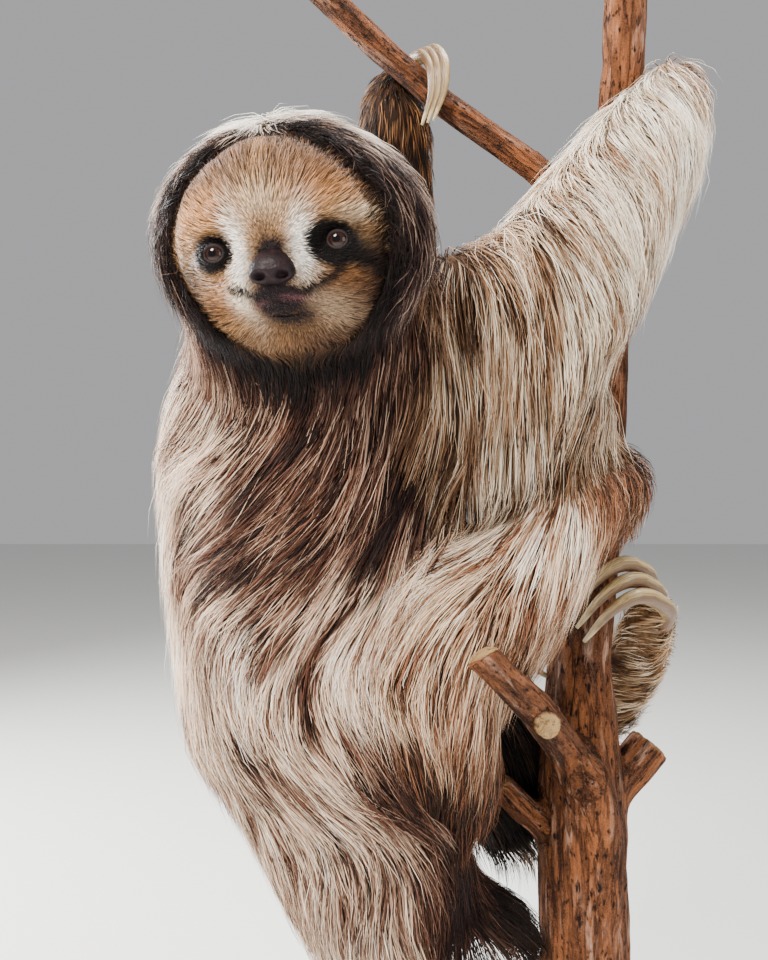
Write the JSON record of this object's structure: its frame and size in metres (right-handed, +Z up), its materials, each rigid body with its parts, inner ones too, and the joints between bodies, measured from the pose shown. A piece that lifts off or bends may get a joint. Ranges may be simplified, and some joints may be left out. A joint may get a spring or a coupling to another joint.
{
  "type": "three-toed sloth",
  "caption": "Life-size still model of a three-toed sloth clinging to a short cut tree trunk, its face turned to the side, on a flat display base with one short rod.",
  "frame": {"origin": "centre of the underside of the display base, on the floor", "axes": "+Z up along the trunk; +X from the animal's back towards the trunk; -Y is where the face looks"},
  "size_m": [0.389, 0.3742, 0.8006],
  "materials": {
    "coat": "long shaggy hair, streaked brown and cream",
    "nose": "damp dark leathery skin",
    "eye": "wet and clear over dark brown",
    "claw": "smooth ivory horn",
    "bark": "rough bark with pale sawn ends",
    "lacquer": "black satin lacquer",
    "rod": "satin"
  },
  "bodies": {
    "root": {"stand_base": "lacquer", "stand_rod": "rod", "perch_trunk": "bark", "perch_branch": "bark", "perch_limb": "bark", "perch_shoot": "bark", "perch_stub_right": "bark", "perch_stub_left": "bark", "nose": "nose", "eye_right": "eye", "eye_left": "eye", "head": "coat", "torso": "coat", "neck": "coat", "tail": "coat", "thigh_right": "coat", "thigh_left": "coat", "upper_arm_right": "coat", "upper_arm_left": "coat", "shank_right": "coat", "shank_left": "coat", "forearm_right": "coat", "forearm_left": "coat", "foot_right": "coat", "foot_left": "coat", "hand_right": "coat", "hand_left": "coat", "claw_hand_right_1": "claw", "claw_hand_right_2": "claw", "claw_hand_right_3": "claw", "claw_hand_left_1": "claw", "claw_hand_left_2": "claw", "claw_hand_left_3": "claw", "claw_foot_right_1": "claw", "claw_foot_right_2": "claw", "claw_foot_right_3": "claw", "claw_foot_left_1": "claw", "claw_foot_left_2": "claw", "claw_foot_left_3": "claw"}
  },
  "joints": []
}
